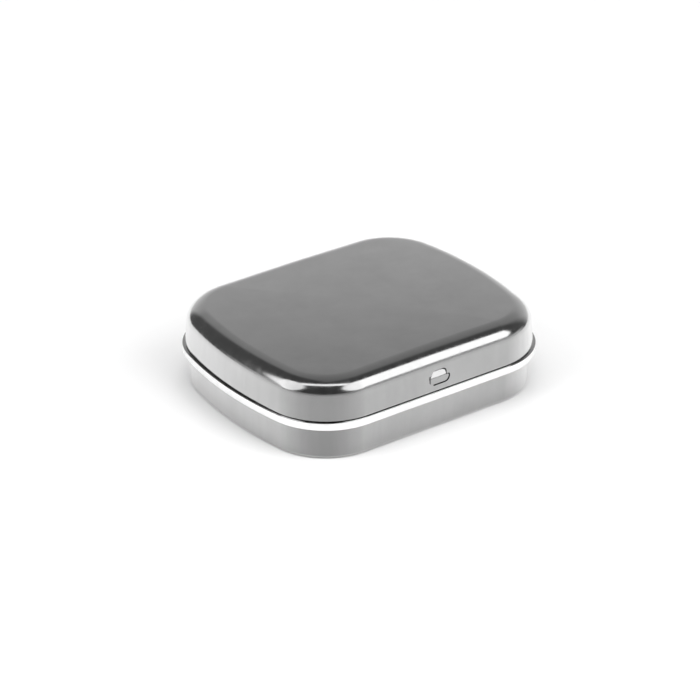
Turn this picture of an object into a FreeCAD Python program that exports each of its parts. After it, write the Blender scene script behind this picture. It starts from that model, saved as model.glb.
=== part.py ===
import FreeCAD, Part
import math
import os
import Sketcher

# A small hinged mint tin of drawn tinplate, shut: a lid over a base.  Lengths are millimetres.
# +X runs along the long side, -Y faces the side with the hinge tongue, +Z is up, and the origin
# is the middle of the foot.  "Inset" is how far a plan lies inside the lid's wall all the way round.

SIZES = [
    # the plan, measured at the lid's wall
    ("lid_length", 60.0),
    ("lid_width", 48.9),
    ("corner_radius", 12.5),
    ("end_bow_radius", 77.0),
    # the lid: height of the shut tin, its dome, its drawn shoulder and its lower edge
    ("tin_height", 16.5),
    ("crown_rise", 0.6),
    ("shoulder_radius", 3.8),
    ("seam_height", 8.3),
    ("edge_round", 0.22),
    # the base: its wall, its foot, and the bead that the lid's edge comes down to
    ("wall_inset", 0.05),
    ("wall_lean", 0.4),
    ("foot_round", 1.0),
    ("seam_gap", 0.18),
    ("bead_reach", 1.0),
    ("bead_lean", 0.1),
    ("bead_nose_height", 7.1),
    ("bead_nose_radius", 0.4),
    ("bead_foot_height", 6.35),
    ("bead_root", 1.5),
    # the hinge: a tongue of the base, bent out through a window in the lid's skirt
    ("skirt_sheet", 0.25),
    ("hinge_gap", 0.05),
    ("tongue_sheet", 0.3),
    ("tongue_width", 3.7),
    ("tongue_setback", 0.8),
    ("tongue_slope", 0.86),
    ("tongue_elbow_rise", 2.85),
    ("tongue_hang", 1.15),
    ("tongue_stand_off", 0.5),
    ("tongue_corner_radius", 1.2),
    ("tongue_bend_radius", 0.15),
    ("window_sill_rise", 2.6),
    ("window_rise", 4.1),
    ("window_side", 0.7),
    ("window_gap", 0.3),
]

doc = FreeCAD.newDocument("mint_tin")
sizes = doc.addObject("Spreadsheet::Sheet", "Sizes")
for row, (alias, value) in enumerate(SIZES, start=1):
    sizes.set(f"A{row}", alias)
    sizes.set(f"B{row}", str(value))
    sizes.setAlias(f"B{row}", alias)
doc.recompute()

# ------------------------------------------------------------------------------ sketching helpers

START, END, CENTRE = 1, 2, 3
ORIGIN = X_AXIS = -1
Y_AXIS = -2


def worth(expression):
    """What an expression of the sheet's sizes comes to now."""
    return float(sizes.evalExpression(expression.replace("Sizes.", "")))


def new_body(name):
    body = doc.addObject("PartDesign::Body", name.capitalize())
    body.Label = name
    return body


def new_sketch(body, name, role, offset):
    """A sketch on one of the body's own origin planes, moved along its normal by an expression."""
    plane = next(f for f in body.Origin.OriginFeatures if f.Role == role)
    sketch = body.newObject("Sketcher::SketchObject", name)
    sketch.AttachmentSupport = [(plane, "")]
    sketch.MapMode = "FlatFace"
    sketch.setExpression("AttachmentOffset.Base.z", offset)
    return sketch


def drive(sketch, name, expression, kind, *references):
    """Dimension the sketch and bind the dimension to an expression of the sheet's sizes."""
    index = sketch.addConstraint(Sketcher.Constraint(kind, *references, worth(expression)))
    sketch.renameConstraint(index, name)
    sketch.setExpression("Constraints." + name, expression)


def place(sketch, name, line, end, across, up):
    """Fix one end of a line at two expressions, across and up from the sketch's origin."""
    drive(sketch, name + "_across", across, "DistanceX", ORIGIN, 1, line, end)
    drive(sketch, name + "_up", up, "DistanceY", ORIGIN, 1, line, end)


def join(sketch, kind, run, following):
    """Join one run's end to the next one's start: Coincident, or Tangent for a smooth join."""
    sketch.addConstraint(Sketcher.Constraint(kind, run, END, following, START))


def polygon(sketch, name, corners):
    """A closed run of lines whose corners are pairs of expressions."""
    points = [FreeCAD.Vector(worth(across), worth(up), 0) for across, up in corners]
    lines = [Part.LineSegment(a, b) for a, b in zip(points, points[1:] + points[:1])]
    ids = list(sketch.addGeometry(lines, False))
    for line, following in zip(ids, ids[1:] + ids[:1]):
        join(sketch, "Coincident", line, following)
    for number, (line, (across, up)) in enumerate(zip(ids, corners)):
        place(sketch, f"{name}{number}", line, START, across, up)
    return ids


def arc(x, y, radius, begin, end):
    circle = Part.Circle(FreeCAD.Vector(x, y, 0), FreeCAD.Vector(0, 0, 1), radius)
    return Part.ArcOfCircle(circle, begin, end)


def plan(sketch, inset):
    """The tin's plan: straight long sides, bowed short sides and round corners, all tangent.
    The front side and both bows are drawn as halves, so that the plan has a corner point in the
    middle of the front, where a sweep can start, and at each end of the tin's length."""
    inside = worth(inset)
    bow_centre = worth("Sizes.end_bow_radius - Sizes.lid_length / 2")
    bow = worth("Sizes.end_bow_radius") - inside
    corner = worth("Sizes.corner_radius") - inside
    corner_y = worth("Sizes.lid_width / 2 - Sizes.corner_radius")
    corner_x = math.sqrt((bow - corner) ** 2 - corner_y ** 2) - bow_centre
    side = corner_y + corner
    lean = math.atan2(corner_y, corner_x + bow_centre)
    turn = math.pi / 2
    runs = [
        Part.LineSegment(FreeCAD.Vector(0, -side, 0), FreeCAD.Vector(corner_x, -side, 0)),
        arc(corner_x, -corner_y, corner, -turn, -lean),
        arc(-bow_centre, 0, bow, -lean, 0),
        arc(-bow_centre, 0, bow, 0, lean),
        arc(corner_x, corner_y, corner, lean, turn),
        Part.LineSegment(FreeCAD.Vector(corner_x, side, 0), FreeCAD.Vector(-corner_x, side, 0)),
        arc(-corner_x, corner_y, corner, turn, 2 * turn - lean),
        arc(bow_centre, 0, bow, 2 * turn - lean, 2 * turn),
        arc(bow_centre, 0, bow, 2 * turn, 2 * turn + lean),
        arc(-corner_x, -corner_y, corner, 2 * turn + lean, 3 * turn),
        Part.LineSegment(FreeCAD.Vector(-corner_x, -side, 0), FreeCAD.Vector(0, -side, 0)),
    ]
    ids = list(sketch.addGeometry(runs, False))
    front, back = ids[0], ids[5]
    corners = [ids[1], ids[4], ids[6], ids[9]]
    bows = [ids[2], ids[3], ids[7], ids[8]]
    right_bow, left_bow = ids[2], ids[7]
    for run, following in zip(ids, ids[1:] + ids[:1]):
        join(sketch, "Tangent", run, following)
    for like in (corners, bows):
        for other in like[1:]:
            sketch.addConstraint(Sketcher.Constraint("Equal", like[0], other))
    for line in (front, back):
        sketch.addConstraint(Sketcher.Constraint("Horizontal", line))
    sketch.addConstraint(Sketcher.Constraint("PointOnObject", front, START, Y_AXIS))
    for half_bow in (right_bow, left_bow):
        sketch.addConstraint(Sketcher.Constraint("PointOnObject", half_bow, END, X_AXIS))
        sketch.addConstraint(Sketcher.Constraint("PointOnObject", half_bow, CENTRE, X_AXIS))
    reach = "Sizes.end_bow_radius - Sizes.lid_length / 2"
    half = f"Sizes.lid_width / 2 - ({inset})"
    drive(sketch, "corner_round", f"Sizes.corner_radius - ({inset})", "Radius", corners[0])
    drive(sketch, "end_bow", f"Sizes.end_bow_radius - ({inset})", "Radius", right_bow)
    drive(sketch, "right_centre", f"-({reach})", "DistanceX", ORIGIN, 1, right_bow, CENTRE)
    drive(sketch, "left_centre", reach, "DistanceX", ORIGIN, 1, left_bow, CENTRE)
    drive(sketch, "back_side", half, "DistanceY", ORIGIN, 1, back, START)
    drive(sketch, "front_side", f"-({half})", "DistanceY", ORIGIN, 1, front, START)


# ------------------------------------------------------------------------------ feature helpers

def pad(body, name, sketch, **properties):
    feature = body.newObject("PartDesign::Pad", name)
    feature.Profile = sketch
    for prop, expression in properties.items():
        feature.setExpression(prop, expression)
    return feature


def edges_where(shape, tests):
    """Names of the edges that have one of the tests passed by all their vertices."""
    return [f"Edge{n}" for n, edge in enumerate(shape.Edges, start=1)
            if any(all(test(vertex.Point) for vertex in edge.Vertexes) for test in tests)]


def fillet(body, name, base, radius, *tests):
    """Round the edges of the feature so far that pass one of the tests."""
    doc.recompute()
    feature = body.newObject("PartDesign::Fillet", name)
    feature.Base = (base, edges_where(base.Shape, tests))
    feature.setExpression("Radius", radius)
    return feature


def along_x(y_expression, z_expression):
    """A test for the edge along X at the place given by two expressions."""
    y, z = worth(y_expression), worth(z_expression)
    return lambda point: abs(point.y - y) < NEAR and abs(point.z - z) < NEAR


def along_y(x_expression, z_expression):
    """A test for the edge along Y at the place given by two expressions."""
    x, z = worth(x_expression), worth(z_expression)
    return lambda point: abs(point.x - x) < NEAR and abs(point.z - z) < NEAR


def pocket(body, name, sketch, base, depth, into_normal=False):
    """A pocket of the given depth, which must take material away from the feature so far."""
    doc.recompute()
    feature = body.newObject("PartDesign::Pocket", name)
    feature.Profile = sketch
    feature.Reversed = into_normal
    feature.setExpression("Length", depth)
    doc.recompute()
    check_cut(feature, base)
    return feature


def check_cut(feature, base):
    if feature.Shape.Volume > base.Shape.Volume - NEAR:
        raise RuntimeError(feature.Name + " takes nothing away")


NEAR = 1e-4

# The neck stands inside the lid's skirt, and the tongue's root is in line with its outer face.
NECK_INSET = "Sizes.skirt_sheet + Sizes.hinge_gap"
FRONT = "Sizes.lid_width / 2"

# ------------------------------------------------------------------------------ the lid
# A shallow drawn cap: straight skirt, full round shoulder and a slightly domed top.  The shut tin
# is closed to view, so the lid is built solid.

lid = new_body("lid")
lid_plan = new_sketch(lid, "LidPlan", "XY_Plane", "Sizes.seam_height")
plan(lid_plan, "0")
lid_block = pad(lid, "LidBlock", lid_plan, Length="Sizes.tin_height - Sizes.seam_height")
doc.recompute()

# The cut that domes the block runs out past the plan's corners and starts clear above the block.
crown = new_sketch(lid, "CrownSection", "XZ_Plane", "0")
crown_radius = "((Sizes.lid_length / 2) ^ 2 + Sizes.crown_rise ^ 2) / (2 * Sizes.crown_rise)"
crown_span = "(Sizes.lid_length + Sizes.lid_width) / 2"
clear_top = "Sizes.tin_height + Sizes.crown_rise"
dome, span, top_height = worth(crown_radius), worth(crown_span), worth("Sizes.tin_height")
clear_height = worth(clear_top)
fall = math.asin(span / dome)
dome_edge = FreeCAD.Vector(span, top_height - dome + dome * math.cos(fall), 0)
above_edge = FreeCAD.Vector(span, clear_height, 0)
above_axis = FreeCAD.Vector(0, clear_height, 0)
axis_top = FreeCAD.Vector(0, top_height, 0)
dome_run, side_run, lid_run, axis_run = crown.addGeometry([
    arc(0, top_height - dome, dome, math.pi / 2 - fall, math.pi / 2),
    Part.LineSegment(dome_edge, above_edge),
    Part.LineSegment(above_edge, above_axis),
    Part.LineSegment(above_axis, axis_top),
], False)
crown.addConstraint(Sketcher.Constraint("Coincident", dome_run, START, side_run, START))
join(crown, "Coincident", side_run, lid_run)
join(crown, "Coincident", lid_run, axis_run)
crown.addConstraint(Sketcher.Constraint("Coincident", axis_run, END, dome_run, END))
crown.addConstraint(Sketcher.Constraint("Vertical", side_run))
crown.addConstraint(Sketcher.Constraint("Horizontal", lid_run))
crown.addConstraint(Sketcher.Constraint("PointOnObject", axis_run, START, Y_AXIS))
crown.addConstraint(Sketcher.Constraint("PointOnObject", axis_run, END, Y_AXIS))
crown.addConstraint(Sketcher.Constraint("PointOnObject", dome_run, CENTRE, Y_AXIS))
drive(crown, "dome", crown_radius, "Radius", dome_run)
drive(crown, "crown_top", "Sizes.tin_height", "DistanceY", ORIGIN, 1, axis_run, END)
drive(crown, "clear_top", clear_top, "DistanceY", ORIGIN, 1, lid_run, START)
drive(crown, "span", crown_span, "DistanceX", ORIGIN, 1, side_run, END)
doc.recompute()
lid_crown = lid.newObject("PartDesign::Groove", "LidCrown")
lid_crown.Profile = crown
lid_crown.ReferenceAxis = (crown, ["V_Axis"])
lid_crown.Angle = 360
doc.recompute()
check_cut(lid_crown, lid_block)
shoulder_start = worth("(Sizes.seam_height + Sizes.tin_height) / 2")
lid_shoulder = fillet(lid, "LidShoulder", lid_crown, "Sizes.shoulder_radius",
                      lambda point: point.z > shoulder_start)
seam = worth("Sizes.seam_height")
lid_edge = fillet(lid, "LidEdge", lid_shoulder, "Sizes.edge_round",
                  lambda point: point.z < seam + NEAR)

# The window in the skirt: a flat sill, short sides and a rounded head.
window = new_sketch(lid, "WindowOutline", "XZ_Plane", FRONT)
half_window = "(Sizes.tongue_width / 2 + Sizes.window_gap)"
sill = "(Sizes.seam_height + Sizes.window_sill_rise)"
side_top = f"({sill} + Sizes.window_side)"
head = "(Sizes.seam_height + Sizes.window_rise)"
head_rise = f"({head} - {side_top})"
head_radius = f"({half_window} ^ 2 + {head_rise} ^ 2) / (2 * {head_rise})"
right, low = worth(half_window), worth(sill)
high, radius = worth(side_top), worth(head_radius)
head_half = math.asin(right / radius)
head_centre = worth(head) - radius
sill_run, right_run, head_run, left_run = window.addGeometry([
    Part.LineSegment(FreeCAD.Vector(-right, low, 0), FreeCAD.Vector(right, low, 0)),
    Part.LineSegment(FreeCAD.Vector(right, low, 0), FreeCAD.Vector(right, high, 0)),
    arc(0, head_centre, radius, math.pi / 2 - head_half, math.pi / 2 + head_half),
    Part.LineSegment(FreeCAD.Vector(-right, high, 0), FreeCAD.Vector(-right, low, 0)),
], False)
for run, following in ((sill_run, right_run), (right_run, head_run),
                       (head_run, left_run), (left_run, sill_run)):
    join(window, "Coincident", run, following)
place(window, "sill_left", sill_run, START, f"-{half_window}", sill)
place(window, "sill_right", sill_run, END, half_window, sill)
place(window, "right_top", right_run, END, half_window, side_top)
place(window, "left_top", left_run, START, f"-{half_window}", side_top)
drive(window, "head_radius", head_radius, "Radius", head_run)

lid_window = pocket(lid, "LidWindow", window, lid_edge, "Sizes.skirt_sheet")

# Behind the skirt the tongue's bend has a chamber, and its upright stands in a slot below that.
half_slot = "(Sizes.tongue_width / 2 + Sizes.hinge_gap)"
slot_deep = f"({NECK_INSET} + Sizes.tongue_setback + Sizes.tongue_sheet + Sizes.hinge_gap)"
chamber = new_sketch(lid, "ChamberOutline", "XZ_Plane", f"{FRONT} - Sizes.skirt_sheet")
polygon(chamber, "chamber", [(f"-{half_slot}", sill), (half_slot, sill),
                             (half_slot, head), (f"-{half_slot}", head)])
lid_chamber = pocket(lid, "LidChamber", chamber, lid_window, f"{slot_deep} - Sizes.skirt_sheet")
slot = new_sketch(lid, "SlotOutline", "XY_Plane", "Sizes.seam_height")
slot_front = f"Sizes.skirt_sheet + Sizes.tongue_setback - {FRONT}"
slot_back = f"{slot_deep} - {FRONT}"
polygon(slot, "slot", [(f"-{half_slot}", slot_front), (half_slot, slot_front),
                       (half_slot, slot_back), (f"-{half_slot}", slot_back)])
pocket(lid, "LidSlot", slot, lid_chamber, "Sizes.window_rise", into_normal=True)

# ------------------------------------------------------------------------------ the base
# A drawn tray, also solid: its wall leans in to a rounded foot, and the lid sits over its neck.

base = new_body("base")
foot_inset = "Sizes.wall_inset + Sizes.wall_lean"
foot_plan = new_sketch(base, "FootPlan", "XY_Plane", "0")
plan(foot_plan, foot_inset)
wall_plan = new_sketch(base, "WallPlan", "XY_Plane", "Sizes.bead_nose_height")
plan(wall_plan, "Sizes.wall_inset")
doc.recompute()
base_wall = base.newObject("PartDesign::AdditiveLoft", "BaseWall")
base_wall.Profile = foot_plan
base_wall.Sections = [wall_plan]
base_wall.Ruled = True
fillet(base, "BaseFoot", base_wall, "Sizes.foot_round", lambda point: point.z < NEAR)

# The neck stops where the lid's block begins, so the two pieces bear on each other there.
neck_plan = new_sketch(base, "NeckPlan", "XY_Plane", "Sizes.bead_nose_height")
plan(neck_plan, NECK_INSET)
pad(base, "BaseNeck", neck_plan, Length="Sizes.seam_height - Sizes.bead_nose_height")

# The bead: a flat shelf just under the lid's edge, a face that leans out a little from the
# shelf's edge to a tight nose, and a slope back in to the wall.
bead_path = new_sketch(base, "BeadPath", "XY_Plane", "Sizes.bead_nose_height")
plan(bead_path, "0")
bead = new_sketch(base, "BeadSection", "YZ_Plane", "0")
bead_top = "Sizes.seam_height - Sizes.seam_gap"
bead_root = f"Sizes.bead_root - {FRONT}"
bead_shelf = f"Sizes.bead_lean - Sizes.bead_reach - {FRONT}"
bead_wall = f"{foot_inset} - {FRONT}"
nose_across = f"Sizes.bead_nose_radius - Sizes.bead_reach - {FRONT}"
nose = FreeCAD.Vector(worth(nose_across), worth("Sizes.bead_nose_height"), 0)
nose_radius = worth("Sizes.bead_nose_radius")
face_turn = math.radians(7)
under_turn = math.radians(59)
root_top = FreeCAD.Vector(worth(bead_root), worth(bead_top), 0)
shelf_edge = FreeCAD.Vector(worth(bead_shelf), worth(bead_top), 0)
wall_foot = FreeCAD.Vector(worth(bead_wall), worth("Sizes.bead_foot_height"), 0)
root_foot = FreeCAD.Vector(worth(bead_root), worth("Sizes.bead_foot_height"), 0)
nose_run = arc(nose.x, nose.y, nose_radius, math.pi - face_turn, math.pi + under_turn)
shelf_run, face_run, nose_run, under_run, foot_run, root_run = bead.addGeometry([
    Part.LineSegment(root_top, shelf_edge),
    Part.LineSegment(shelf_edge, nose_run.StartPoint),
    nose_run,
    Part.LineSegment(nose_run.EndPoint, wall_foot),
    Part.LineSegment(wall_foot, root_foot),
    Part.LineSegment(root_foot, root_top),
], False)
join(bead, "Coincident", shelf_run, face_run)
join(bead, "Tangent", face_run, nose_run)
join(bead, "Tangent", nose_run, under_run)
join(bead, "Coincident", under_run, foot_run)
join(bead, "Coincident", foot_run, root_run)
join(bead, "Coincident", root_run, shelf_run)
place(bead, "root_top", shelf_run, START, bead_root, bead_top)
place(bead, "shelf_edge", shelf_run, END, bead_shelf, bead_top)
place(bead, "wall_foot", foot_run, START, bead_wall, "Sizes.bead_foot_height")
place(bead, "root_foot", root_run, START, bead_root, "Sizes.bead_foot_height")
place(bead, "nose", nose_run, CENTRE, nose_across, "Sizes.bead_nose_height")
drive(bead, "nose_round", "Sizes.bead_nose_radius", "Radius", nose_run)
doc.recompute()
base_bead = base.newObject("PartDesign::AdditivePipe", "BaseBead")
base_bead.Profile = bead
base_bead.Spine = (bead_path, [])
base_bead.Mode = "Binormal"
base_bead.Binormal = FreeCAD.Vector(0, 0, 1)

# The tongue: it stands up from the neck behind the skirt, slopes out through the window and hangs
# down in front of the skirt, one thickness of sheet all along.
tongue = new_sketch(base, "TongueSection", "YZ_Plane", "0")
inner_face = f"{NECK_INSET} + Sizes.tongue_setback - {FRONT}"
back_face = f"{inner_face} + Sizes.tongue_sheet"
outer_face = f"-Sizes.tongue_stand_off - {FRONT}"
hanging_back = f"{outer_face} + Sizes.tongue_sheet"
elbow = "Sizes.seam_height + Sizes.tongue_elbow_rise"
tip = f"{elbow} - Sizes.tongue_hang"
top = f"{elbow} + Sizes.tongue_slope * ({back_face} - ({outer_face}))"
under = "Sizes.tongue_sheet * (sqrt(1 + Sizes.tongue_slope ^ 2) - Sizes.tongue_slope)"
under_elbow = f"{elbow} - {under}"
under_top = f"{under_elbow} + Sizes.tongue_slope * ({inner_face} - ({hanging_back}))"
polygon(tongue, "bend", [(back_face, "Sizes.seam_height"), (back_face, top), (outer_face, elbow),
                         (outer_face, tip), (hanging_back, tip), (hanging_back, under_elbow),
                         (inner_face, under_top), (inner_face, "Sizes.seam_height")])
tongue_strip = pad(base, "TongueStrip", tongue, Length="Sizes.tongue_width")
tongue_strip.Midplane = True
outer_bends = fillet(base, "TongueOuterBends", tongue_strip,
                     "Sizes.tongue_bend_radius + Sizes.tongue_sheet",
                     along_x(back_face, top), along_x(outer_face, elbow))
inner_bends = fillet(base, "TongueInnerBends", outer_bends, "Sizes.tongue_bend_radius",
                     along_x(inner_face, under_top), along_x(hanging_back, under_elbow))
tip_corners = [along_y(f"{side} * Sizes.tongue_width / 2", tip) for side in (-1, 1)]
fillet(base, "TongueTip", inner_bends, "Sizes.tongue_corner_radius", *tip_corners)
doc.recompute()

# ------------------------------------------------------------------------------ checks and files

for item in doc.Objects:
    if "Invalid" in item.State or "Error" in item.State:
        raise RuntimeError(item.Name + " did not build")
for body in (lid, base):
    shape = body.Shape
    if shape.isNull() or not shape.isValid() or len(shape.Solids) != 1:
        raise RuntimeError(body.Label + " is not one valid solid")

os.makedirs("parts", exist_ok=True)
for body in (lid, base):
    body.Shape.exportStep(f"parts/{body.Label}.step")
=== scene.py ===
import math

import bmesh
import bpy
from mathutils import Matrix, Vector


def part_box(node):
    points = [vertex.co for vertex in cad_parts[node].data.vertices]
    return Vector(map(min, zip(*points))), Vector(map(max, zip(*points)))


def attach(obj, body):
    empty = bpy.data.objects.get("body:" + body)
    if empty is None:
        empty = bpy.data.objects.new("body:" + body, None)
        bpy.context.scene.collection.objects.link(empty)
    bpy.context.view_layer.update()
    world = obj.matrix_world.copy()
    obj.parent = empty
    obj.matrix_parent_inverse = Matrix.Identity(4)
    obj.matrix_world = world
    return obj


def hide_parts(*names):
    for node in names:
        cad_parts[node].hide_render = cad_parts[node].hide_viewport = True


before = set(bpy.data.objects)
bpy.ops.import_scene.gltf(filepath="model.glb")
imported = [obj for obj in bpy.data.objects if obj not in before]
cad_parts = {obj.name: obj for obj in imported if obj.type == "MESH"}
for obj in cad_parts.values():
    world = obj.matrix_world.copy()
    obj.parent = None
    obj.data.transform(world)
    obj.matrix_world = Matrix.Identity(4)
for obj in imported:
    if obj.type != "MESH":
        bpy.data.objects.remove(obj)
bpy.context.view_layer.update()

# ------------------------------------------------------------------------------ the base
# A tray drawn from thin tinplate.  Its wall leans in towards a rounded foot, and a bead is rolled
# out of it all the way round just under the rim, for the lid's edge to come down to.  A neck goes
# on up from the bead, inside the lid.

MM = 0.001
SAME_PLACE = 0.001 * MM

lid_low, lid_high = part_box("lid")
base_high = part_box("base")[1]
half_length = lid_high.x
half_width = lid_high.y
seam = lid_low.z
bead_reach = base_high.x - lid_high.x

corner_radius = 12.5 * MM
bow_radius = 77 * MM
bow_x = half_length - bow_radius
corner_y = half_width - corner_radius
corner_x = bow_x + math.sqrt((bow_radius - corner_radius) ** 2 - corner_y ** 2)
bow_turn = math.atan2(corner_y, corner_x - bow_x)
corner_turn = math.pi / 2 - bow_turn
CORNER_STEPS = 40
BOW_STEPS = 12

broken_edge = 0.06 * MM
foot_ring = 3 * MM
foot_inset = 0.42 * MM
foot_round = 0.7 * MM
wall_top_inset = 0.25 * MM
wall_top_height = 6.4 * MM
bead_face_foot = 6.62 * MM
bead_foot_reach = 0.8 * MM
bead_foot_round = 0.1 * MM
bead_nose_height = 7.2 * MM
bead_nose_round = 0.35 * MM
bead_shelf_reach = 0.93 * MM
bead_shelf_round = 0.08 * MM
bead_shelf_height = seam - 0.15 * MM
neck_inset = 0.3 * MM
neck_height = seam + 0.5 * MM


def chosen(things, kind):
    """Those of a mixed list of bmesh parts that are vertices, edges or faces."""
    return [thing for thing in things if isinstance(thing, kind)]


def wire(outline, closed=False):
    """A bmesh holding a run of edges in the plane x = 0, through points given as (inset, height)."""
    shape = bmesh.new()
    verts = [shape.verts.new((0, inset - half_width, height)) for inset, height in outline]
    for start, end in zip(verts, verts[1:] + verts[:1] if closed else verts[1:]):
        shape.edges.new((start, end))
    shape.verts.ensure_lookup_table()
    return shape


def round_corner(shape, corner, reach, segments):
    """Round a run's corner, given as (inset, height), starting that far each side of it."""
    place = Vector((0, corner[0] - half_width, corner[1]))
    nearest = min(shape.verts, key=lambda vert: (vert.co - place).length)
    bmesh.ops.bevel(shape, geom=[nearest], affect="VERTICES", offset=reach, segments=segments,
                    profile=0.5, material=-1)


def carry_round(shape):
    """Carry a run of edges once round the tin's plan: side, corner and bowed end, mirrored twice."""
    run = list(shape.edges)
    grown = bmesh.ops.extrude_edge_only(shape, edges=run)["geom"]
    bmesh.ops.translate(shape, verts=chosen(grown, bmesh.types.BMVert), vec=(corner_x, 0, 0))
    corner_centre = (corner_x, -corner_y, 0)
    bow_centre = (bow_x, 0, 0)
    for centre, turn, steps in ((corner_centre, corner_turn, CORNER_STEPS),
                                (bow_centre, bow_turn, BOW_STEPS)):
        run = chosen(grown, bmesh.types.BMEdge)
        grown = bmesh.ops.spin(shape, geom=run, cent=centre, axis=(0, 0, 1), angle=turn,
                               steps=steps, use_duplicate=False)["geom_last"]
    for axis in ("X", "Y"):
        whole = shape.verts[:] + shape.edges[:] + shape.faces[:]
        bmesh.ops.mirror(shape, geom=whole, matrix=Matrix.Identity(4), merge_dist=SAME_PLACE,
                         axis=axis)
    bmesh.ops.remove_doubles(shape, verts=shape.verts, dist=SAME_PLACE)


def rim_near(shape, height):
    """The open edges nearest to a height."""
    rims = [edge for edge in shape.edges if edge.is_boundary]
    nearest = min(abs(edge.verts[0].co.z - height) for edge in rims)
    return [edge for edge in rims if abs(edge.verts[0].co.z - height) < nearest + SAME_PLACE]


def piece(name, shape, *materials):
    """A finished object from a bmesh: its corners just broken, smooth, and on the tin's body."""
    for face in shape.faces:
        face.smooth = True
    mesh = bpy.data.meshes.new(name)
    shape.to_mesh(mesh)
    shape.free()
    thing = bpy.data.objects.new(name, mesh)
    bpy.context.scene.collection.objects.link(thing)
    for material in materials:
        mesh.materials.append(material)
    broken = thing.modifiers.new("broken edges", "BEVEL")
    broken.width = broken_edge
    broken.segments = 3
    broken.limit_method = "ANGLE"
    broken.angle_limit = math.radians(40)
    weights = thing.modifiers.new("larger faces lead", "WEIGHTED_NORMAL")
    weights.weight = 100
    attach(thing, "root")
    return thing


def node(tree, kind, **settings):
    """A shader node; a setting whose name starts with a capital is a socket's value."""
    made = tree.nodes.new(kind)
    for name, value in settings.items():
        if name[0].isupper():
            made.inputs[name.replace("_", " ")].default_value = value
        else:
            setattr(made, name, value)
    return made


def streaks(tree, scale, detail, low, high, stretch=(1, 1, 1)):
    """Noise on Object coordinates, stretched, as a value that runs from low to high."""
    place = node(tree, "ShaderNodeTexCoord")
    mapping = node(tree, "ShaderNodeMapping", Scale=stretch)
    noise = node(tree, "ShaderNodeTexNoise", Scale=scale, Detail=detail, Roughness=0.55)
    spread = node(tree, "ShaderNodeMapRange", From_Min=0.3, From_Max=0.7, To_Min=low, To_Max=high)
    tree.links.new(place.outputs["Object"], mapping.inputs["Vector"])
    tree.links.new(mapping.outputs["Vector"], noise.inputs["Vector"])
    tree.links.new(noise.outputs["Fac"], spread.inputs["Value"])
    return spread.outputs["Result"]


def tinplate(name, painted_face_on_tone, painted_grazing_tone, low_roughness, high_roughness):
    """Rolled tinplate: a painted shade and sheen in its colour, dark face on and bright towards a
    grazing angle, with random clouds of tone, draw marks, rubs and grain.
    """
    material = bpy.data.materials.new(name)
    material.use_nodes = True
    tree = material.node_tree
    shader = tree.nodes["Principled BSDF"]
    shader.inputs["Metallic"].default_value = 1
    clouds = streaks(tree, scale=140, detail=4, low=0.96, high=1.04)
    marks = streaks(tree, scale=850, detail=4, low=0.97, high=1.03, stretch=(1, 1, 0.05))
    rubs = streaks(tree, scale=700, detail=6, low=low_roughness, high=high_roughness,
                   stretch=(1, 1, 0.12))
    swell = streaks(tree, scale=90, detail=2, low=0, high=1)
    roll_lines = streaks(tree, scale=5200, detail=3, low=0, high=1, stretch=(0.12, 1, 0.12))

    # Painted shade and sheen: Layer Weight's facing makes the colour dark face on and bright towards
    # a grazing angle.
    facing = node(tree, "ShaderNodeLayerWeight", Blend=0.5)
    painted_sheen_by_angle = node(tree, "ShaderNodeMapRange", From_Min=0.1, From_Max=0.75,
                  To_Min=painted_face_on_tone, To_Max=painted_grazing_tone)
    clouds_and_painted_sheen = node(tree, "ShaderNodeMath", operation="MULTIPLY")
    tree.links.new(facing.outputs["Facing"], painted_sheen_by_angle.inputs["Value"])
    tree.links.new(painted_sheen_by_angle.outputs["Result"], clouds_and_painted_sheen.inputs[0])
    tree.links.new(clouds, clouds_and_painted_sheen.inputs[1])

    # The draw marks run up the walls only, so they fade out where the surface turns level.
    surface = node(tree, "ShaderNodeNewGeometry")
    parts = node(tree, "ShaderNodeSeparateXYZ")
    upright = node(tree, "ShaderNodeMapRange", From_Min=0.5, From_Max=0.1)
    drawn = node(tree, "ShaderNodeMix", data_type="FLOAT", A=1)
    marks_clouds_and_painted_sheen = node(tree, "ShaderNodeMath", operation="MULTIPLY")
    tree.links.new(surface.outputs["True Normal"], parts.inputs["Vector"])
    tree.links.new(parts.outputs["Z"], upright.inputs["Value"])
    tree.links.new(upright.outputs["Result"], drawn.inputs["Factor"])
    tree.links.new(marks, drawn.inputs["B"])
    tree.links.new(clouds_and_painted_sheen.outputs["Value"], marks_clouds_and_painted_sheen.inputs[0])
    tree.links.new(drawn.outputs["Result"], marks_clouds_and_painted_sheen.inputs[1])
    tree.links.new(marks_clouds_and_painted_sheen.outputs["Value"], shader.inputs["Base Color"])

    waves = node(tree, "ShaderNodeBump", Strength=0.35, Distance=0.005 * MM)
    grain = node(tree, "ShaderNodeBump", Strength=0.25, Distance=0.0012 * MM)
    tree.links.new(rubs, shader.inputs["Roughness"])
    tree.links.new(swell, waves.inputs["Height"])
    tree.links.new(roll_lines, grain.inputs["Height"])
    tree.links.new(waves.outputs["Normal"], grain.inputs["Normal"])
    tree.links.new(grain.outputs["Normal"], shader.inputs["Normal"])
    return material


# Painted shade: the base's face-on tone is set far darker than tinplate's own, and a little darker
# than the lid's.
base_metal = tinplate("base tinplate", painted_face_on_tone=0.21, painted_grazing_tone=0.82,
                      low_roughness=0.12, high_roughness=0.2)
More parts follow.
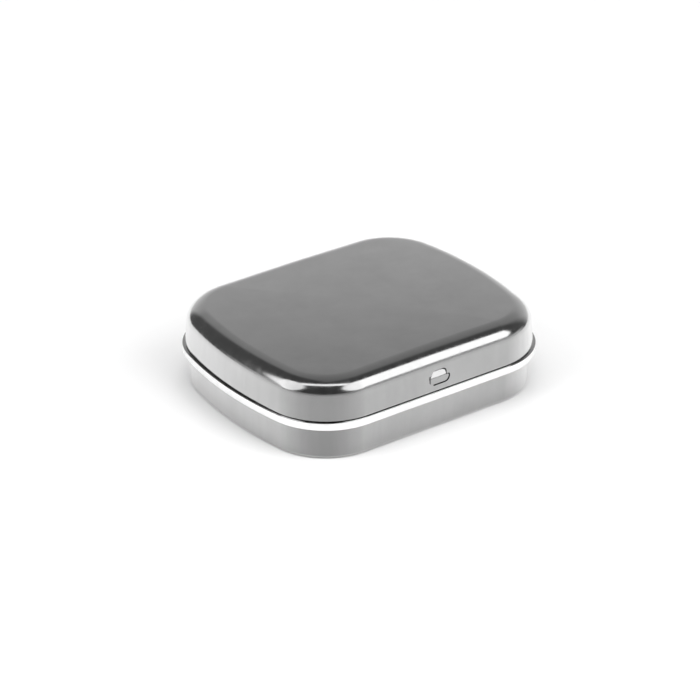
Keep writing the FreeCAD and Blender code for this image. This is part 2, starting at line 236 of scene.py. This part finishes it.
# A rougher copy of the tinplate for the bead's face: its roughness is real, its near-white colour is
# a painted highlight.
matt_painted_highlight = tinplate("burnished bead", painted_face_on_tone=0.95, painted_grazing_tone=0.98,
                     low_roughness=0.42, high_roughness=0.55)
foot = (foot_inset, 0)
face_foot = (-bead_foot_reach, bead_face_foot)
nose = (-bead_reach, bead_nose_height)
shelf = (-bead_shelf_reach, bead_shelf_height)
section = wire([(foot_ring, 0), foot, (wall_top_inset, wall_top_height), face_foot, nose, shelf,
                (neck_inset, bead_shelf_height), (neck_inset, neck_height)])
round_corner(section, foot, foot_round, 8)
round_corner(section, face_foot, bead_foot_round, 3)
round_corner(section, nose, bead_nose_round, 8)
round_corner(section, shelf, bead_shelf_round, 4)
carry_round(section)
bmesh.ops.edgeloop_fill(section, edges=rim_near(section, 0))
bmesh.ops.edgeloop_fill(section, edges=rim_near(section, neck_height))
bmesh.ops.recalc_face_normals(section, faces=section.faces)

# The bead's face, between its foot and the edge of the shelf, is matt and carries a painted
# highlight: a near-white copy of the tinplate.
matt_painted_bright_low = bead_face_foot - 0.05 * MM
matt_painted_bright_high = bead_shelf_height - 0.02 * MM
shelf_slope = 0.7
for face in section.faces:
    middle = face.calc_center_median().z
    if matt_painted_bright_low < middle < matt_painted_bright_high and abs(face.normal.z) < shelf_slope:
        face.material_index = 1
base_shell = piece("base_shell", section, base_metal, matt_painted_highlight)
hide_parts("base")

# ------------------------------------------------------------------------------ the lid
# A cap drawn from the same sheet, with a full round shoulder and a top that is a little domed.
# The skirt flares slightly down to the bead, and a window is punched in the middle of its front.

sheet = 0.25 * MM
shoulder_radius = 3.8 * MM
dome_rise = 0.6 * MM
dome_radius = (half_length ** 2 + dome_rise ** 2) / (2 * dome_rise)
skirt_flare = math.radians(5)
skirt_edge_height = seam + 0.01 * MM
window_left = -1.55 * MM
slit_left = -1.1 * MM
window_right = 2.05 * MM
slit_right = 2.8 * MM
slit_foot = seam + 1.08 * MM
slit_top = seam + 2.7 * MM
window_head = seam + 4.05 * MM
arch_round = 1.33 * MM
window_round = 0.8 * MM
slit_top_round = 0.3 * MM
slit_end_round = 1.2 * MM
slit_start_round = 0.2 * MM
SHOULDER_STEPS = 28
PANEL_RINGS = 24

# Painted shade: the lid's face-on tone is set far darker than tinplate's own.
lid_metal = tinplate("lid tinplate", painted_face_on_tone=0.27, painted_grazing_tone=0.82,
                     low_roughness=0.12, high_roughness=0.2)
lid_inset = 0.001 * MM
lid_top = lid_high.z - lid_inset
shoulder_foot = lid_top - shoulder_radius
skirt_top_inset = shoulder_radius * (1 - math.cos(skirt_flare))
skirt_top_height = shoulder_foot + shoulder_radius * math.sin(skirt_flare)
skirt_edge_inset = skirt_top_inset - (skirt_top_height - skirt_edge_height) * math.tan(skirt_flare)
skirt = wire([(skirt_edge_inset, skirt_edge_height), (skirt_top_inset, skirt_top_height)])
bmesh.ops.spin(skirt, geom=[skirt.verts[1]], cent=(0, shoulder_radius - half_width, shoulder_foot),
               axis=(1, 0, 0), angle=skirt_flare - math.pi / 2, steps=SHOULDER_STEPS,
               use_duplicate=False)
carry_round(skirt)
rim = rim_near(skirt, lid_top)
for ring in range(PANEL_RINGS, 0, -1):
    grown = bmesh.ops.extrude_edge_only(skirt, edges=rim)["geom"]
    rim = chosen(grown, bmesh.types.BMEdge)
    inner = chosen(grown, bmesh.types.BMVert)
    share = (ring - 1) / ring
    bmesh.ops.scale(skirt, verts=inner, vec=(share, share, 1))
bmesh.ops.remove_doubles(skirt, verts=inner, dist=SAME_PLACE)
for vert in skirt.verts:
    rise = max(0, (vert.co.z - shoulder_foot) / shoulder_radius)
    vert.co.z -= rise * vert.co.xy.length_squared / (2 * dome_radius)

# The skirt's flat front comes out, the window is drawn on its plane, and the rest is filled again.
flat = []
for face in skirt.faces:
    middle = face.calc_center_median()
    if abs(middle.x) < corner_x and middle.y < -half_width and middle.z < skirt_top_height:
        flat.append(face)
sides = [edge for face in flat for edge in face.edges
         if any(other not in flat for other in edge.link_faces)]
bmesh.ops.delete(skirt, geom=flat, context="FACES")
feet = {vert for edge in sides for vert in edge.verts
        if vert.co.z < skirt_edge_height + SAME_PLACE}
skirt.edges.new(feet)
window = ((window_left, window_head, arch_round), (window_right, window_head, window_round),
          (window_right, slit_top, 0), (slit_right, slit_top, slit_top_round),
          (slit_right, slit_foot, slit_end_round), (slit_left, slit_foot, slit_start_round),
          (slit_left, slit_top, 0), (window_left, slit_top, 0))
corners = []
for across, height, reach in window:
    inset = skirt_top_inset - (skirt_top_height - height) * math.tan(skirt_flare)
    corners.append(skirt.verts.new((across, inset - half_width, height)))
for start, end in zip(corners, corners[1:] + corners[:1]):
    skirt.edges.new((start, end))
for corner, (across, height, reach) in zip(corners, window):
    if reach:
        bmesh.ops.bevel(skirt, geom=[corner], affect="VERTICES", offset=reach, segments=8,
                        profile=0.5, material=-1)
outline = [edge for edge in skirt.edges if edge.is_wire]
filled = bmesh.ops.triangle_fill(skirt, edges=sides + outline, use_beauty=True)["geom"]
bmesh.ops.dissolve_limit(skirt, angle_limit=math.radians(0.5), use_dissolve_boundaries=False,
                         edges=chosen(filled, bmesh.types.BMEdge), delimit=set())
bmesh.ops.recalc_face_normals(skirt, faces=skirt.faces)
bmesh.ops.solidify(skirt, geom=skirt.faces[:], thickness=sheet)
lid_shell = piece("lid_shell", skirt, lid_metal)
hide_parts("lid")

# ------------------------------------------------------------------------------ the hinge tongue
# A strip of the base's own sheet that comes up behind the skirt.  It is bent out through the
# window and down over the skirt, so the lid turns on it.

tongue_sheet = 0.2 * MM
tongue_left = -1.85 * MM
tongue_right = 1.74 * MM
tongue_root_left = 1.4 * MM
tongue_root_right = 2.2 * MM
plate_left = -1.85 * MM
plate_right = 2.3 * MM
tongue_reach = 0.48 * MM
tongue_root_inset = 2.0 * MM
tongue_root_height = neck_height - 0.2 * MM
tongue_elbow_height = seam + 2.85 * MM
tongue_tip_height = seam + 1.5 * MM
tongue_slope = 1.1
elbow_round = 0.15 * MM
tongue_top_round = 0.5 * MM
plate_left_round = 0.3 * MM
plate_right_round = 1.0 * MM

elbow = (-tongue_reach, tongue_elbow_height)
tongue_top = (tongue_root_inset,
              tongue_elbow_height + tongue_slope * (tongue_reach + tongue_root_inset))
strip = wire([(tongue_root_inset, tongue_root_height), tongue_top, elbow,
              (-tongue_reach, tongue_tip_height)])
round_corner(strip, elbow, elbow_round, 6)
round_corner(strip, tongue_top, tongue_top_round, 6)
left_side = strip.verts[:]
grown = bmesh.ops.extrude_edge_only(strip, edges=strip.edges[:])["geom"]
right_side = chosen(grown, bmesh.types.BMVert)

# Behind the skirt the strip is narrow, on the slope it widens, and below the elbow is the plate.
plate_top = tongue_elbow_height - elbow_round + 0.01 * MM
for side, outside, inside, below in ((left_side, tongue_left, tongue_root_left, plate_left),
                                     (right_side, tongue_right, tongue_root_right, plate_right)):
    for vert in side:
        if vert.co.y > -half_width:
            vert.co.x = inside
        elif vert.co.z > plate_top:
            vert.co.x = outside
        else:
            vert.co.x = below
for side, reach in ((-1, plate_left_round), (1, plate_right_round)):
    corner = [vert for vert in strip.verts if vert.co.z < tongue_tip_height + SAME_PLACE
              and vert.co.x * side > 0 and vert.co.y < -half_width]
    bmesh.ops.bevel(strip, geom=corner, affect="VERTICES", offset=reach, segments=8, profile=0.5,
                    material=-1)
bmesh.ops.recalc_face_normals(strip, faces=strip.faces)
front = min(strip.faces, key=lambda face: face.calc_center_median().y)
if front.normal.y > 0:
    bmesh.ops.reverse_faces(strip, faces=strip.faces)
bmesh.ops.solidify(strip, geom=strip.faces[:], thickness=tongue_sheet)
hinge_tongue = piece("hinge_tongue", strip, base_metal)
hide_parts("base")

# ------------------------------------------------------------------------------ the studio
# A pale floor under a tent of soft boxes: one each side of the camera, a strip that joins them
# overhead, a ceiling lamp over the floor, and a darker room behind that brightens towards the
# floor.

floor_shape = bmesh.new()
floor_radius = 1.2
bmesh.ops.create_circle(floor_shape, cap_ends=True, radius=floor_radius, segments=64)
floor_mesh = bpy.data.meshes.new("floor")
floor_shape.to_mesh(floor_mesh)
floor_shape.free()
floor = bpy.data.objects.new("floor", floor_mesh)
bpy.context.scene.collection.objects.link(floor)
floor_paint = bpy.data.materials.new("floor paint")
floor_paint.use_nodes = True
paint = floor_paint.node_tree.nodes["Principled BSDF"]
paint.inputs["Base Color"].default_value = (0.94, 0.94, 0.94, 1)
paint.inputs["Roughness"].default_value = 1
paint.inputs["Specular IOR Level"].default_value = 0
floor_mesh.materials.append(floor_paint)

world = bpy.data.worlds.new("studio")
bpy.context.scene.world = world
world.use_nodes = True
room = world.node_tree


def shades(*stops):
    """A colour ramp of greys in the room, its stops given as (place, grey)."""
    ramp = node(room, "ShaderNodeValToRGB")
    elements = ramp.color_ramp.elements
    while len(elements) < len(stops):
        elements.new(0.5)
    for element, (place, grey) in zip(elements, stops):
        element.position = place
        element.color = (grey, grey, grey, 1)
    return ramp


# Round the room, places are shares of a turn, with the middle of the back at a half.
# Up the room, they are the sine of the height above the floor.
direction = node(room, "ShaderNodeTexCoord")
turned = node(room, "ShaderNodeMapping", Rotation=(0, 0, math.radians(-45)))
round_room = node(room, "ShaderNodeTexGradient", gradient_type="RADIAL")
parts = node(room, "ShaderNodeSeparateXYZ")
behind = shades((0.36, 0), (0.41, 1), (0.61, 1), (0.635, 0))
rear = shades((0.3, 0), (0.36, 1), (0.72, 1), (0.78, 0))
upwards = shades((0, 0.7), (0.06, 0.52), (0.2, 0.45), (0.46, 0.3), (0.54, 0.21), (0.85, 0.19))
low = shades((0, 0.85), (0.17, 0.78), (0.23, 0))
both = node(room, "ShaderNodeMix", data_type="RGBA", blend_type="MULTIPLY")
total = node(room, "ShaderNodeMix", data_type="RGBA", blend_type="ADD")
ahead = node(room, "ShaderNodeMix", data_type="RGBA")
skyline = node(room, "ShaderNodeMix", data_type="RGBA", blend_type="LIGHTEN")
for mix in (both, total, skyline):
    mix.inputs["Factor"].default_value = 1
total.inputs["A"].default_value = (0.1, 0.1, 0.1, 1)
ahead.inputs["B"].default_value = (0, 0, 0, 1)
for source, target in ((direction.outputs["Generated"], turned.inputs["Vector"]),
                       (turned.outputs["Vector"], round_room.inputs["Vector"]),
                       (round_room.outputs["Fac"], behind.inputs["Fac"]),
                       (round_room.outputs["Fac"], rear.inputs["Fac"]),
                       (direction.outputs["Generated"], parts.inputs["Vector"]),
                       (parts.outputs["Z"], upwards.inputs["Fac"]),
                       (parts.outputs["Z"], low.inputs["Fac"]),
                       (behind.outputs["Color"], both.inputs["A"]),
                       (upwards.outputs["Color"], both.inputs["B"]),
                       (both.outputs["Result"], total.inputs["B"]),
                       (rear.outputs["Color"], ahead.inputs["Factor"]),
                       (low.outputs["Color"], ahead.inputs["A"]),
                       (ahead.outputs["Result"], skyline.inputs["A"]),
                       (total.outputs["Result"], skyline.inputs["B"]),
                       (skyline.outputs["Result"], room.nodes["Background"].inputs["Color"])):
    room.links.new(source, target)


def softbox(name, azimuth, elevation, distance, width, height, radiance, shape="RECTANGLE"):
    """A soft lamp; azimuth 0 is at the front and grows to the right. An ellipse stands upright."""
    turn, lift = math.radians(azimuth), math.radians(elevation)
    outwards = Vector((math.sin(turn), -math.cos(turn), 0))
    place = distance * (outwards * math.cos(lift) + Vector((0, 0, math.sin(lift))))
    lamp = bpy.data.lights.new(name, "AREA")
    lamp.shape = shape
    lamp.size, lamp.size_y = width, height
    area = width * height * (math.pi / 4 if shape == "ELLIPSE" else 1)
    lamp.energy = radiance * math.pi * area
    holder = bpy.data.objects.new(name, lamp)
    holder.location = place
    aim = outwards if shape == "ELLIPSE" else place
    holder.rotation_euler = aim.to_track_quat("Z", "Y").to_euler()
    bpy.context.scene.collection.objects.link(holder)
    return holder


softbox("right softbox", azimuth=25, elevation=44, distance=1.4,
        width=1.15, height=1.5, radiance=3.1, shape="ELLIPSE")
softbox("left softbox", azimuth=-104, elevation=43, distance=1.4,
        width=0.95, height=1.65, radiance=2.5, shape="ELLIPSE")
softbox("overhead strip", azimuth=-40, elevation=73, distance=1.0,
        width=0.95, height=0.15, radiance=4.0)
ceiling = softbox("ceiling lamp", azimuth=0, elevation=90, distance=1.6,
                  width=1.6, height=1.6, radiance=1.5)
ceiling.visible_glossy = False

# ------------------------------------------------------------------------------ the camera
# A long lens well back, so the tin is seen with little perspective.

camera_azimuth, camera_elevation = math.radians(-36.17), math.radians(28.0)
camera_distance = 0.6
aim_height = 9 * MM
aim_left = 1.717 * MM
aim_down = 2.676 * MM
back = Vector((math.sin(camera_azimuth) * math.cos(camera_elevation),
               -math.cos(camera_azimuth) * math.cos(camera_elevation),
               math.sin(camera_elevation)))
right = Vector((math.cos(camera_azimuth), math.sin(camera_azimuth), 0))
up = back.cross(right)
aim = Vector((0, 0, aim_height)) - right * aim_left - up * aim_down
camera_data = bpy.data.cameras.new("camera")
camera_data.lens = 161.8
camera = bpy.data.objects.new("camera", camera_data)
turn = Matrix((right, up, back)).transposed().to_4x4()
camera.matrix_world = Matrix.Translation(aim + back * camera_distance) @ turn
bpy.context.scene.collection.objects.link(camera)
bpy.context.scene.camera = camera
bpy.context.scene.view_settings.view_transform = "Standard"
